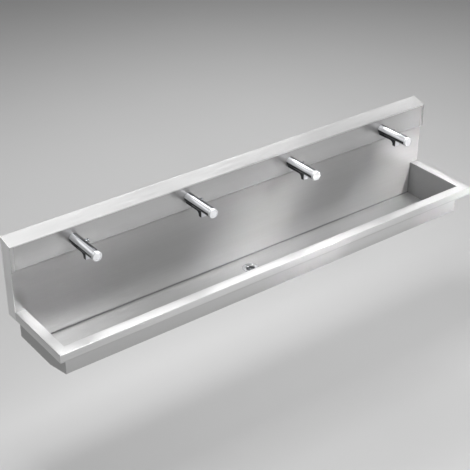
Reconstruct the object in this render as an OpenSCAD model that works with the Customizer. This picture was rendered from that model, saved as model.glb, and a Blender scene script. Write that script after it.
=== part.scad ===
// Wall-hung wash trough with a boxed splashback and four timed push taps.
// X runs along the wall, the wall is the plane Y = 0, the front is -Y, and Z = 0 is the rim's top.

/* [Trough] */
// Overall length along the wall
trough_length = 2400; // [2300:10:2800]
// Overall depth from the wall to the front of the rim
trough_depth = 450; // [430:5:520]
// Thickness of the stainless sheet
sheet = 1.5; // [1:0.1:2]
// Radius inside every bend
bend_radius = 2; // [1:0.5:3]
// Front edge of the rim to the outer face of the front wall
front_rim = 49; // [40:1:70]
// End edge of the rim to the outer face of the end wall
end_rim = 46; // [35:1:60]
// Height of the apron folded down from the rim
apron_height = 43; // [30:1:60]
// Width of the lip folded in under the apron
apron_lip = 14; // [8:1:25]
// Rim top to the bowl floor
bowl_depth = 178.5; // [175:0.5:230]
// Rise of the sloping floor from the flat floor to the front wall
floor_rise = 34.5; // [15:0.5:45]
// Share of the bowl's depth, front to back, that the sloping floor takes
slope_share = 0.424; // [0.3:0.002:0.45]

/* [Splashback] */
// Rim top to the back edge of the header top
splash_height = 351; // [345:1:420]
// Wall to the lower splash face
splash_offset = 66; // [64:1:80]
// Lower splash face to the header front
header_overhang = 16; // [14:0.5:24]
// Fall of the header top from back to front
header_fall = 19; // [10:1:20]
// Height of the header front
header_height = 121.5; // [105:0.5:150]
// Width of the return folded round each end of the header front
end_return = 15; // [10:1:25]
// Height of the flange that hooks behind the wall brackets
back_flange = 35; // [25:1:45]
// Gap between the end of the header's underside and the bend of the splash
splash_joint = 0.3; // [0.2:0.1:1]
// Pitch of the screws under the header
screw_pitch = 350; // [250:10:380]
// Diameter of the header screws
screw_d = 5; // [4:0.5:6]

/* [Wall fixing] */
// End of the trough to the middle of each outer bracket
bracket_end = 200; // [120:10:400]
// Width of each bracket
bracket_width = 50; // [40:1:70]
// Thickness of the bracket plate
bracket_plate = 3; // [2:0.5:4]
// Height between the two wall bolts of a bracket
bolt_spacing = 260; // [200:5:270]
// Diameter of the wall bolt holes
bolt_hole_d = 11; // [8:0.5:13]
// End of the trough to each lower fixing hole in the base plate
base_hole_end = 300; // [250:10:600]
// Diameter of the lower fixing holes
base_hole_d = 8; // [6:0.5:10]

/* [Taps] */
// Header's front top edge to the axis of the taps
tap_drop = 56; // [50:0.5:62]
// Diameter of the tap's cylinder
tap_d = 46; // [44:1:52]
// Length of a tap from the header front to its front end
tap_length = 198; // [190:1:230]
// Length of the bezel at the front end
bezel_length = 15; // [14:0.5:18]
// Width of the bezel's face round the push button
bezel_face = 7; // [6.5:0.5:9]
// Travel of the push button
button_travel = 5; // [2:0.5:6]
// Width of the keel under the cylinder
keel_width = 26; // [24:0.5:32]
// Tap axis to the bottom of the keel
keel_depth = 30; // [27:0.5:34]
// Tap axis to the mouth of the spout
spout_depth = 52; // [48:0.5:60]
// Header front to the centre of the spout
spout_reach = 109.5; // [100:0.5:125]
// Length of the spout along the tap
spout_length = 21; // [21:0.5:26]
// Radius of the flare from the keel to the spout
flare_radius = 19; // [8:0.5:21]
// Header front to the axis of the temperature lever
lever_setback = 52; // [45:1:60]
// Diameter of the lever's hub
lever_hub_d = 15; // [13:0.5:17]
// Tap axis to the outer end of the hub
lever_hub_reach = 41; // [38:0.5:46]
// Length of the lever from its axis
lever_length = 25; // [20:0.5:34]

/* [Waste] */
// Middle of the flat floor to the centre of the waste
waste_offset = 2.5; // [-8:0.5:8]
// Diameter of the waste flange
waste_flange_d = 84; // [74:1:86]
// Diameter of the waste's mouth
waste_mouth_d = 44; // [38:1:46]
// Diameter of the waste's tail
waste_tail_d = 42; // [32:0.5:44]
// Length of the waste's tail below its socket
waste_tail_length = 60; // [40:1:100]

/* [Supply] */
// Outer diameter of the manifolds
manifold_d = 22; // [18:1:24]
// Wall to the manifold axis
manifold_setback = 24; // [22:1:25]
// Tap axis to each manifold axis, up for hot and down for cold
manifold_offset = 49; // [45:1:49]
// Outer diameter of the pipes from the manifolds to a tap
pipe_d = 10; // [8:0.5:12]
// Radius of the bend in those pipes, on the centre line
pipe_bend = 12; // [10:0.5:13]
// End of the trough to the two inlets
inlet_end = 100; // [80:5:150]
// Diameter of the inlet threads
inlet_d = 21; // [18:0.5:21]

/* [Hidden] */
tap_count = 4;
tap_numbers = [1:tap_count];
$fn = 64;

// One overrun serves all cuts
over = 5;
// Clearance round pieces that are seated or that slide
fit = 0.3;
// Largest angle between the points of a bend
bend_step = 15;

// Colours
stainless = [0.74, 0.75, 0.76];
mirror_chrome = [0.86, 0.87, 0.89];
galvanised = [0.62, 0.64, 0.66];
brass_tone = [0.80, 0.66, 0.36];
copper_tone = [0.78, 0.47, 0.33];
rubber_black = [0.10, 0.10, 0.11];
polymer_white = [0.90, 0.90, 0.88];

// Planes of the shell
half_length = trough_length / 2;
panel_inner = half_length - sheet;
wall_outer = half_length - end_rim;
wall_inner = wall_outer - sheet;
rim_corner_y = -trough_depth + half_length - wall_inner;
front_outer_y = front_rim - trough_depth;
front_inner_y = front_outer_y + sheet;
header_depth = splash_offset + header_overhang;
splash_y = -splash_offset;
splash_back_y = splash_y + sheet;
floor_z = -bowl_depth;
floor_under_z = floor_z - sheet;
front_wall_drop = bowl_depth - floor_rise;
kink_y = front_outer_y + slope_share * (splash_y - front_outer_y);
header_front_z = splash_height - header_fall;
header_base = header_front_z - header_height;
tap_height = header_front_z - tap_drop;
tap_pitch = trough_length / tap_count;
header_slope = header_fall / header_depth;
flange_foot_z = splash_height - back_flange;
lip_top_z = sheet - apron_height;
// The header's underside and the pan's flange lie on each other at this height
flange_z = header_base + sheet;
end_station = half_length - end_return;
// The cover's underside stops before the pan's bend, and the pan's flange before the cover's
cover_lip_y = splash_y - bend_radius - splash_joint;
pan_lip_y = sheet + bend_radius + fit - header_depth;

// Header screws
screw_head_share = 1.8;
screw_head_height_share = 0.6;
screw_length_share = 2.4;
screw_head_d = screw_head_share * screw_d;
screw_head_height = screw_head_height_share * screw_d;
screw_length = screw_length_share * screw_d;
screw_count = floor(end_station / screw_pitch);
screw_y = (pan_lip_y + cover_lip_y) / 2;
screw_stations = [for (i = [-screw_count:screw_count]) i * screw_pitch];

// Brackets
base_flange = 20;
bracket_stations = [bracket_end - half_length, 0, half_length - bracket_end];
bracket_edge = 20;
bracket_gap = 10;
bracket_foot_z = floor_under_z + base_flange + bracket_gap;
bolt_low_z = bracket_foot_z + bracket_edge;
wing_gap = 32;
bracket_wing_z = tap_height - manifold_offset - wing_gap;
bracket_wing_fall = 45;
hook_offset = sheet + fit;
hook_height = 28;
shelf_z = flange_foot_z - fit;

// Waste
waste_setback = -(splash_y + kink_y) / 2 + waste_offset;
waste_tube_wall = 2;
waste_tube_r = waste_mouth_d / 2 + waste_tube_wall;
floor_hole_r = waste_tube_r + fit;
waste_tube_length = 40;
waste_rise = 2;
waste_lip = 1;
waste_edge = 4;
waste_ledge = 1.5;
strainer_z = 10;
strainer_thickness = 2.5;
strainer_ring = 3;
strainer_boss_r = 6;
strainer_spoke = 2.6;
strainer_spokes = 6;
waste_gasket_thickness = 3;
waste_gasket_inset = 2;
waste_gasket_r = waste_flange_d / 2 - waste_gasket_inset;
waste_nut_height = 10;
waste_nut_across = 66;
waste_socket_top = 22;
waste_socket_wall = 4.5;
waste_socket_floor = 4;
waste_tail_wall = 3;

// Base plate and stiffener under the shell
base_hole_z = floor_under_z + base_flange / 2;
stiffener_gap = 7.5;
stiffener_brim_share = 0.18;
stiffener_width = waste_setback - waste_gasket_r - splash_offset - 2 * stiffener_gap;
stiffener_brim = stiffener_brim_share * stiffener_width;
stiffener_height = 18;
stiffener_end_gap = 20;

// Tap
tap_r = tap_d / 2;
bezel_start = tap_length - bezel_length;
neck_length = 8;
neck_wall = 3;
chamber_r = tap_r - 2 * neck_wall;
chamber_start = 75;
neck_r = chamber_r + neck_wall;
waterway_r = 8;
shank_r = 14;
shank_length = 22;
gasket_thickness = 1.5;
gasket_inset = 3;
gasket_r = tap_r - gasket_inset;
locknut_thickness = 8;
locknut_across = 36;
hex_corner_share = 1 / cos(30);
bezel_round = 3;
button_r = tap_r - bezel_face;
button_rise = 1.2;
button_rim_drop = 0.8;
dome_steps = 6;
button_flange = 0.8;
button_flange_thickness = 5;
lip_back = bezel_start + neck_length + fit;
button_flange_front = lip_back - fit;
button_back = button_flange_front - button_flange_thickness;
stem_r = 4;
stem_length = 22;
cartridge_front = button_back - button_travel - 2 * stem_r;
cartridge_groove = 4;
port_r = 4;
spout_start = spout_reach - spout_length / 2;
spout_end = spout_reach + spout_length / 2;
spout_round = 5;
insert_wall = 1.2;
insert_bore_r = spout_length / 2 - insert_wall;
insert_r = insert_bore_r - fit;
insert_height = 10;
insert_recess = 1;
insert_hole_r = 1.3;
insert_ring_r = 5;
insert_hole_count = 8;
boss_edge = 1.5;
boss_rise = 2;
boss_r = lever_hub_d / 2 + boss_edge;
boss_reach = tap_r + boss_rise;
spindle_r = 4;
spindle_start = 6;
hub_round = 3;
lever_r = 2.6;
lever_shift = 2;
lever_place = (boss_reach + lever_hub_reach) / 2 + lever_shift;

// Inlet block behind a tap
block_gap = 0.5;
block_start = sheet + locknut_thickness + block_gap;
block_end = 38;
block_half_width = 18;
block_half_height = 16;
block_boss_r = 8;
block_boss_top = 24;
block_port_z = 30;
pipe_seat = 6;

// Supply
manifold_wall = 1.5;
manifold_end_gap = 35;
inlet_station = half_length - inlet_end;
manifold_r = manifold_d / 2;
pipe_r = pipe_d / 2;
pipe_wall = 1;
socket_wall = 2.5;
socket_r = pipe_r + socket_wall;
pipe_drop_y = -header_depth + block_port_z;
socket_face_y = pipe_drop_y + pipe_bend;
pipe_insert = 3;
hot_z = tap_height + manifold_offset;
cold_z = tap_height - manifold_offset;
clip_wall = 2.7;
clip_width = 14;
clip_foot = 12;
inlet_wall = 3;
inlet_bore_r = inlet_d / 2 - inlet_wall;
inlet_thread = 12;
inlet_collar_r = manifold_r + 2;
notch_gap = 4;
notch_r = inlet_d / 2 + notch_gap;

// Direction and turning of plane vectors
function unit(v) = v / norm(v);
function left(v) = [-v.y, v.x];
function spin(v, a) = [v.x * cos(a) - v.y * sin(a), v.x * sin(a) + v.y * cos(a)];
function turn(u, v) = atan2(u.x * v.y - u.y * v.x, u * v);
function flatten(lists) = [for (list = lists) for (item = list) item];
function backwards(list) = [for (i = [len(list) - 1:-1:0]) list[i]];

// Points round the corner q between p and r. Depth 0 is the show side, thick the hidden side.
function corner(p, q, r, inner, thick, depth) =
    let (u = unit(q - p), a = turn(u, unit(r - q)), s = sign(a))
    let (show = s > 0 ? inner + thick : inner, start = q - u * show * tan(abs(a) / 2))
    let (centre = start + left(u) * s * show, steps = max(2, ceil(abs(a) / bend_step)))
    [for (k = [0:steps]) centre - left(spin(u, a * k / steps)) * s * (show - s * depth)];

// One face of a bent sheet, as deep below the show side as depth says
function face(points, depth) =
    let (last = len(points) - 1)
    concat([points[0] + left(unit(points[1] - points[0])) * depth],
           flatten([for (i = [1:last - 1])
               corner(points[i - 1], points[i], points[i + 1], bend_radius, sheet, depth)]),
           [points[last] + left(unit(points[last] - points[last - 1])) * depth]);

// Closed outline with a radius at each of its corners
function soft_outline(points, radii) =
    let (count = len(points))
    flatten([for (i = [0:count - 1]) radii[i] == 0 ? [points[i]] :
        corner(points[(i + count - 1) % count], points[i], points[(i + 1) % count], radii[i], 0, 0)]);

// Section of a bent sheet from the corners of its show side, the sheet lying to the left
module bent_sheet(points) {
    polygon(concat(face(points, 0), backwards(face(points, sheet))));
}

// Extrudes a section drawn in Y and Z along X
module along_x(from, to) {
    translate([from, 0, 0]) rotate([90, 0, 90]) linear_extrude(to - from) children();
}

// Extrudes a section drawn in X and Z along Y, from the wall side to the front
module along_y(from, to) {
    translate([0, from, 0]) rotate([90, 0, 0]) linear_extrude(from - to) children();
}

// A block between two opposite corners
module block(low, high) {
    translate(low) cube(high - low);
}

module both_ends() {
    children();
    mirror([1, 0, 0]) children();
}

// Ring with its base at z = 0
module ring(outer, inner, height) {
    difference() {
        cylinder(r = outer, h = height);
        translate([0, 0, -over]) cylinder(r = inner, h = height + 2 * over);
    }
}

// Hexagonal nut with its base at z = 0
module hex_nut(across, bore, height) {
    difference() {
        cylinder(r = across / 2 * hex_corner_share, h = height, $fn = 6);
        translate([0, 0, -over]) cylinder(r = bore, h = height + 2 * over);
    }
}

// Distance of tap n from the middle of the trough
function tap_station(n) = (n - (tap_count + 1) / 2) * tap_pitch;

// Places a piece at tap n: its Z runs out along the tap from the header front, its Y is up
module at_tap(n) {
    translate([tap_station(n), -header_depth, tap_height]) rotate([90, 0, 0]) children();
}

module at_waste() {
    translate([0, -waste_setback, floor_z]) children();
}

// Shell
pan_points = [[pan_lip_y, flange_z], [splash_y, flange_z], [splash_y, floor_z],
    [kink_y, floor_z], [front_inner_y, -front_wall_drop], [front_inner_y, 0],
    [-trough_depth, 0], [-trough_depth, -apron_height], [apron_lip - trough_depth, -apron_height]];

module trough_pan() {
    color(stainless) difference() {
        along_x(-half_length, half_length) bent_sheet(pan_points);
        both_ends() {
            block([wall_inner, rim_corner_y, floor_z - over], [half_length + over, splash_y, over]);
            block([wall_inner, splash_y, floor_z - over], [half_length + over, over, lip_top_z]);
            block([panel_inner, rim_corner_y, lip_top_z], [half_length + over, over, splash_height]);
            block([panel_inner, -header_depth, over], [half_length + over, over, splash_height]);
            translate([0, 0, -apron_height - over]) linear_extrude(apron_height + 2 * over)
                polygon([[wall_inner, rim_corner_y], [half_length + over, -trough_depth - over],
                         [half_length + over, rim_corner_y]]);
        }
        at_waste() translate([0, 0, -over]) cylinder(r = floor_hole_r, h = 2 * over);
        for (x = screw_stations) translate([x, screw_y, header_base])
            cylinder(r = screw_d / 2 + fit, h = sheet + over);
    }
}

module end_wall() {
    foot = [[0, floor_z], [kink_y, floor_z], [front_inner_y, -front_wall_drop],
            [front_inner_y, -sheet]];
    color(stainless) along_x(wall_inner, wall_outer) polygon(concat(face(foot, sheet),
        [[rim_corner_y, -sheet], [rim_corner_y, 0], [splash_y, 0], [splash_y, -apron_height],
         [0, -apron_height]]));
}

module left_end_wall() {
    mirror([1, 0, 0]) end_wall();
}

module right_end_wall() {
    end_wall();
}

module rim_rail() {
    color(stainless) difference() {
        along_y(splash_y, -trough_depth) bent_sheet([[-wall_outer, 0], [-half_length, 0],
            [-half_length, -apron_height], [apron_lip - half_length, -apron_height]]);
        translate([0, 0, -apron_height - over]) linear_extrude(apron_height + 2 * over)
            polygon([[over - wall_inner, rim_corner_y + over],
                     [-half_length - over, -trough_depth - over],
                     [over - wall_inner, -trough_depth - over]]);
    }
}

module left_rim_rail() {
    rim_rail();
}

module right_rim_rail() {
    mirror([1, 0, 0]) rim_rail();
}

module side_panel() {
    color(stainless) {
        along_x(panel_inner, half_length) polygon([[0, -apron_height], [splash_y, -apron_height],
            [splash_y, header_base], [-header_depth, header_base], [-header_depth, header_front_z],
            [0, splash_height]]);
        along_x(end_station, half_length) polygon([[-header_depth, header_base],
            [sheet - header_depth, header_base],
            [sheet - header_depth, header_front_z + sheet * header_slope],
            [-header_depth, header_front_z]]);
        block([wall_inner, splash_y, -apron_height], [half_length, 0, lip_top_z]);
    }
}

module left_side_panel() {
    mirror([1, 0, 0]) side_panel();
}

module right_side_panel() {
    side_panel();
}

module header_cover() {
    color(stainless) difference() {
        along_x(-panel_inner, panel_inner) bent_sheet([[0, flange_foot_z], [0, splash_height],
            [-header_depth, header_front_z], [-header_depth, header_base],
            [cover_lip_y, header_base]]);
        both_ends() block([end_station, -header_depth - over, header_base - over],
            [half_length + over, sheet - header_depth, splash_height + over]);
        for (n = tap_numbers) at_tap(n) translate([0, 0, -over])
            cylinder(r = shank_r + fit, h = 2 * over);
        for (x = screw_stations) translate([x, screw_y, header_base - over])
            cylinder(r = screw_d / 2 + fit, h = 2 * over);
        translate([-inlet_station, 0, hot_z]) {
            rotate([90, 0, 0]) cylinder(r = notch_r, h = sheet + over);
            block([-notch_r, -sheet - over, flange_foot_z - hot_z - over], [notch_r, over, 0]);
        }
    }
}

module header_screws() {
    color(galvanised) for (x = screw_stations) translate([x, screw_y, header_base]) {
        translate([0, 0, -screw_head_height]) cylinder(r = screw_head_d / 2, h = screw_head_height);
        cylinder(r = screw_d / 2, h = screw_length);
    }
}

// Wall fixing
module wall_bracket(x) {
    tongue_y = -hook_offset - bracket_plate;
    color(galvanised) translate([x, 0, 0]) {
        difference() {
            along_x(-bracket_width / 2, bracket_width / 2) polygon([[0, bracket_foot_z],
                [0, shelf_z], [-hook_offset, shelf_z], [-hook_offset, shelf_z + hook_height],
                [tongue_y, shelf_z + hook_height], [tongue_y, shelf_z - bracket_plate],
                [-bracket_plate, shelf_z - 2 * bracket_plate], [-bracket_plate, bracket_foot_z]]);
            for (z = [bolt_low_z, bolt_low_z + bolt_spacing]) translate([0, over, z])
                rotate([90, 0, 0]) cylinder(r = bolt_hole_d / 2, h = bracket_plate + 2 * over);
        }
        both_ends() along_x(bracket_width / 2 - bracket_plate, bracket_width / 2)
            polygon([[-bracket_plate, bracket_foot_z], [-bracket_plate, bracket_wing_z],
                [splash_back_y, bracket_wing_z - bracket_wing_fall],
                [splash_back_y, bracket_foot_z]]);
    }
}

module left_wall_bracket() {
    wall_bracket(bracket_end - half_length);
}

module middle_wall_bracket() {
    wall_bracket(0);
}

module right_wall_bracket() {
    wall_bracket(half_length - bracket_end);
}

module duct_base_plate() {
    front_y = splash_back_y + fit;
    color(stainless) difference() {
        along_x(-wall_inner, wall_inner) bent_sheet([[front_y, floor_under_z + base_flange],
            [front_y, floor_under_z], [0, floor_under_z], [0, floor_under_z + base_flange]]);
        for (x = [base_hole_end - half_length, half_length - base_hole_end])
            translate([x, over, base_hole_z])
                rotate([90, 0, 0]) cylinder(r = base_hole_d / 2, h = sheet + 2 * over);
    }
}

module floor_stiffener() {
    back = splash_y - stiffener_gap;
    front = back - stiffener_width;
    low = floor_under_z - stiffener_height;
    color(galvanised) along_x(stiffener_end_gap - wall_inner, wall_inner - stiffener_end_gap)
        bent_sheet([[back, floor_under_z], [back - stiffener_brim, floor_under_z],
            [back - stiffener_brim, low], [front + stiffener_brim, low],
            [front + stiffener_brim, floor_under_z], [front, floor_under_z]]);
}

// Taps
module tap_gaskets() {
    color(rubber_black) for (n = tap_numbers) at_tap(n)
        ring(gasket_r - fit, shank_r + fit, gasket_thickness);
}

module tap_locknuts() {
    color(brass_tone) for (n = tap_numbers) at_tap(n) translate([0, 0, -sheet - locknut_thickness])
        hex_nut(locknut_across, shank_r + fit, locknut_thickness);
}

// Keel and spout in side view: height first, then distance along the tap
keel_outline = soft_outline([[0, 0], [-keel_depth, 0], [-keel_depth, spout_start],
    [-spout_depth, spout_start], [-spout_depth, spout_end], [0, spout_end]],
    [0, 0, flare_radius, 0, spout_round, 0]);

module tap_body() {
    color(mirror_chrome) difference() {
        union() {
            cylinder(r = tap_r, h = bezel_start);
            cylinder(r = neck_r, h = bezel_start + neck_length);
            translate([0, 0, -shank_length]) cylinder(r = shank_r, h = shank_length + over);
            along_x(-keel_width / 2, keel_width / 2) polygon(keel_outline);
            translate([0, 0, lever_setback]) rotate([0, 90, 0]) cylinder(r = boss_r, h = boss_reach);
        }
        translate([0, 0, chamber_start]) cylinder(r = chamber_r, h = tap_length);
        translate([0, 0, -shank_length - over])
            cylinder(r = waterway_r, h = shank_length + chamber_start + 2 * over);
        translate([0, 0, lever_setback]) rotate([0, 90, 0])
            cylinder(r = spindle_r + fit, h = boss_reach + over);
        translate([0, 0, spout_reach]) rotate([90, 0, 0]) {
            cylinder(r = waterway_r, h = spout_depth + over);
            translate([0, 0, spout_depth - insert_height - insert_recess])
                cylinder(r = insert_bore_r, h = insert_height + insert_recess + over);
        }
        translate([0, 0, -over]) ring(gasket_r, shank_r, gasket_thickness + over);
    }
}

module tap_bezel() {
    color(mirror_chrome) rotate_extrude() polygon(soft_outline([[button_r + fit, lip_back],
        [button_r + fit, tap_length], [tap_r, tap_length], [tap_r, bezel_start],
        [neck_r + fit, bezel_start], [neck_r + fit, lip_back]], [0, 0, bezel_round, 0, 0, 0]));
}

module tap_button() {
    rim_z = tap_length - button_rim_drop;
    dome = (button_r * button_r + button_rise * button_rise) / (2 * button_rise);
    dome_angle = asin(button_r / dome);
    color(mirror_chrome) rotate_extrude() polygon(concat([[0, button_back - stem_length],
        [stem_r, button_back - stem_length], [stem_r, button_back],
        [button_r + button_flange, button_back], [button_r + button_flange, button_flange_front],
        [button_r, button_flange_front]],
        [for (k = [dome_steps:-1:0]) [dome * sin(dome_angle * k / dome_steps),
            rim_z + dome * cos(dome_angle * k / dome_steps) - dome + button_rise]]));
}

module tap_cartridge() {
    radius = chamber_r - fit;
    color(brass_tone) difference() {
        rotate_extrude() polygon([[0, chamber_start], [radius, chamber_start],
            [radius, spout_start], [radius - cartridge_groove, spout_start],
            [radius - cartridge_groove, spout_end], [radius, spout_end],
            [radius, cartridge_front], [0, cartridge_front]]);
        translate([0, 0, button_back - stem_length - button_travel - fit])
            cylinder(r = stem_r + fit, h = stem_length);
        translate([0, 0, chamber_start - over])
            cylinder(r = port_r, h = spout_reach - chamber_start + over);
        translate([-radius, 0, spout_reach]) rotate([0, 90, 0]) cylinder(r = port_r, h = 2 * radius);
    }
}

module tap_spout_insert() {
    color(polymer_white) translate([0, insert_height + insert_recess - spout_depth, spout_reach])
        rotate([90, 0, 0]) difference() {
            cylinder(r = insert_r, h = insert_height);
            for (i = [1:insert_hole_count]) rotate([0, 0, i * 360 / insert_hole_count])
                translate([insert_ring_r, 0, -over])
                    cylinder(r = insert_hole_r, h = insert_height + 2 * over);
            translate([0, 0, -over]) cylinder(r = insert_hole_r, h = insert_height + 2 * over);
        }
}

module tap_temperature_lever() {
    base = boss_reach + fit;
    color(mirror_chrome) translate([0, 0, lever_setback]) {
        rotate([0, 90, 0]) rotate_extrude() polygon(soft_outline([[0, spindle_start],
            [spindle_r, spindle_start], [spindle_r, base], [lever_hub_d / 2, base],
            [lever_hub_d / 2, lever_hub_reach], [0, lever_hub_reach]], [0, 0, 0, 0, hub_round, 0]));
        translate([lever_place, 0, 0]) {
            cylinder(r = lever_r, h = lever_length - lever_r);
            translate([0, 0, lever_length - lever_r]) sphere(r = lever_r);
        }
    }
}

module tap_inlet_block() {
    color(brass_tone) difference() {
        union() {
            block([-block_half_width, -block_half_height, -block_end],
                [block_half_width, block_half_height, -block_start]);
            translate([0, block_boss_top, -block_port_z]) rotate([90, 0, 0])
                cylinder(r = block_boss_r, h = 2 * block_boss_top);
        }
        translate([0, 0, -shank_length]) cylinder(r = shank_r + fit, h = shank_length);
        translate([0, 0, -block_port_z]) cylinder(r = waterway_r, h = block_port_z);
        translate([0, block_boss_top + over, -block_port_z]) rotate([90, 0, 0])
            cylinder(r = port_r, h = 2 * (block_boss_top + over));
        for (end = [-1, 1]) translate([0, end * (block_boss_top - pipe_seat), -block_port_z])
            rotate([-90 * end, 0, 0]) cylinder(r = pipe_r + fit, h = pipe_seat + over);
    }
}

// Supply
module tube(outer, wall, length) {
    difference() {
        cylinder(r = outer, h = length);
        translate([0, 0, -over]) cylinder(r = outer - wall, h = length + 2 * over);
    }
}

// Pipe from the hot manifold down to an inlet block, drawn at the middle of the trough
module supply_pipe() {
    elbow_z = manifold_offset - pipe_bend;
    seat_z = block_boss_top - pipe_seat;
    color(copper_tone) translate([0, 0, tap_height]) {
        translate([0, pipe_drop_y, seat_z]) tube(pipe_r, pipe_wall, elbow_z - seat_z);
        translate([0, socket_face_y, elbow_z]) rotate([0, -90, 0]) rotate_extrude(angle = -90)
            translate([pipe_bend, 0]) difference() {
                circle(r = pipe_r);
                circle(r = pipe_r - pipe_wall);
            }
        translate([0, socket_face_y + pipe_insert, manifold_offset]) rotate([90, 0, 0])
            tube(pipe_r, pipe_wall, pipe_insert);
    }
}

module tap_hot_pipe(n) {
    translate([tap_station(n), 0, 0]) supply_pipe();
}

module tap_cold_pipe(n) {
    translate([0, 0, 2 * tap_height]) mirror([0, 0, 1]) tap_hot_pipe(n);
}

module manifold(z, inlet_x) {
    half = half_length - manifold_end_gap;
    bore_r = manifold_r - manifold_wall;
    color(copper_tone) translate([0, -manifold_setback, z]) difference() {
        union() {
            translate([-half, 0, 0]) rotate([0, 90, 0]) cylinder(r = manifold_r, h = 2 * half);
            for (n = tap_numbers) translate([tap_station(n), 0, 0]) rotate([90, 0, 0])
                cylinder(r = socket_r, h = -socket_face_y - manifold_setback);
            translate([inlet_x, 0, 0]) rotate([-90, 0, 0]) {
                cylinder(r = inlet_d / 2, h = manifold_setback);
                cylinder(r = inlet_collar_r, h = manifold_setback - inlet_thread);
            }
        }
        translate([manifold_wall - half, 0, 0]) rotate([0, 90, 0])
            cylinder(r = bore_r, h = 2 * (half - manifold_wall));
        for (n = tap_numbers) translate([tap_station(n), 0, 0]) rotate([90, 0, 0]) {
            cylinder(r = pipe_r - pipe_wall, h = manifold_setback - socket_face_y);
            translate([0, 0, -socket_face_y - manifold_setback - pipe_insert])
                cylinder(r = pipe_r + fit, h = pipe_insert + over);
        }
        translate([inlet_x, 0, 0]) rotate([-90, 0, 0])
            cylinder(r = inlet_bore_r, h = manifold_setback + over);
    }
}

module hot_manifold() {
    manifold(hot_z, -inlet_station);
}

module cold_manifold() {
    manifold(cold_z, -inlet_station);
}

module manifold_clips() {
    outer = manifold_r + fit + clip_wall;
    seats = [[hot_z, hook_offset + bracket_plate], [cold_z, bracket_plate]];
    color(galvanised) for (x = bracket_stations) for (seat = seats)
        translate([x - clip_width / 2, -manifold_setback, seat.x]) difference() {
            union() {
                rotate([0, 90, 0]) cylinder(r = outer, h = clip_width);
                block([0, 0, -clip_foot / 2],
                    [clip_width, manifold_setback - seat.y, clip_foot / 2]);
            }
            translate([-over, 0, 0]) rotate([0, 90, 0])
                cylinder(r = manifold_r + fit, h = clip_width + 2 * over);
        }
}

// Waste, each piece drawn from the floor's top face down
module waste_flange() {
    mouth_r = waste_mouth_d / 2;
    flange_r = waste_flange_d / 2;
    color(mirror_chrome) at_waste() rotate_extrude() polygon([[flange_r, 0],
        [flange_r, waste_lip], [flange_r - waste_edge, waste_rise],
        [mouth_r + waste_edge, waste_lip], [mouth_r + waste_edge / 4, waste_lip / 2],
        [mouth_r, -waste_lip], [mouth_r, -strainer_z],
        [mouth_r - waste_ledge, -strainer_z], [mouth_r - waste_ledge, -waste_tube_length],
        [waste_tube_r, -waste_tube_length], [waste_tube_r, 0]]);
}

module waste_strainer() {
    outer = waste_mouth_d / 2 - fit;
    color(stainless) at_waste() translate([0, 0, -strainer_z]) {
        ring(outer, outer - strainer_ring, strainer_thickness);
        cylinder(r = strainer_boss_r, h = strainer_thickness);
        for (i = [1:strainer_spokes]) rotate([0, 0, i * 360 / strainer_spokes])
            block([0, -strainer_spoke / 2, 0],
                [outer - strainer_ring / 2, strainer_spoke / 2, strainer_thickness]);
    }
}

module waste_gasket() {
    color(rubber_black) at_waste() translate([0, 0, -sheet - waste_gasket_thickness])
        ring(waste_gasket_r, floor_hole_r, waste_gasket_thickness);
}

module waste_locknut() {
    color(brass_tone) at_waste()
        translate([0, 0, -sheet - waste_gasket_thickness - waste_nut_height])
            hex_nut(waste_nut_across, floor_hole_r, waste_nut_height);
}

module waste_body() {
    bore_r = waste_tube_r + fit;
    outer = bore_r + waste_socket_wall;
    tail_r = waste_tail_d / 2;
    shoulder = -waste_tube_length - waste_socket_floor;
    tail_end = shoulder - waste_tail_length;
    color(mirror_chrome) at_waste() rotate_extrude() polygon([[bore_r, -waste_socket_top],
        [outer, -waste_socket_top], [outer, shoulder], [tail_r, shoulder], [tail_r, tail_end],
        [tail_r - waste_tail_wall, tail_end], [tail_r - waste_tail_wall, -waste_tube_length],
        [bore_r, -waste_tube_length]]);
}

trough_pan();
left_end_wall();
right_end_wall();
left_rim_rail();
right_rim_rail();
left_side_panel();
right_side_panel();
header_cover();
left_wall_bracket();
middle_wall_bracket();
right_wall_bracket();
duct_base_plate();
floor_stiffener();
header_screws();
hot_manifold();
cold_manifold();
manifold_clips();
tap_gaskets();
tap_locknuts();
waste_flange();
waste_strainer();
waste_gasket();
waste_locknut();
waste_body();
for (n = tap_numbers) {
    at_tap(n) tap_body();
    at_tap(n) tap_bezel();
    at_tap(n) tap_button();
    at_tap(n) tap_cartridge();
    at_tap(n) tap_spout_insert();
    at_tap(n) tap_temperature_lever();
    at_tap(n) tap_inlet_block();
    tap_hot_pipe(n);
    tap_cold_pipe(n);
}
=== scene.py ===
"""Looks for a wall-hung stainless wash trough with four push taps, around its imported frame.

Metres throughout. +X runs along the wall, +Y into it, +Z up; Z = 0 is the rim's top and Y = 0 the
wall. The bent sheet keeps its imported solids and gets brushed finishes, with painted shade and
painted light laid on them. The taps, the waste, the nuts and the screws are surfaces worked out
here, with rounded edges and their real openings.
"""

import logging
import math
from dataclasses import dataclass, field
from enum import Enum
from typing import Any

import bmesh
import bpy
import numpy as np
from mathutils import Matrix, Vector


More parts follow.
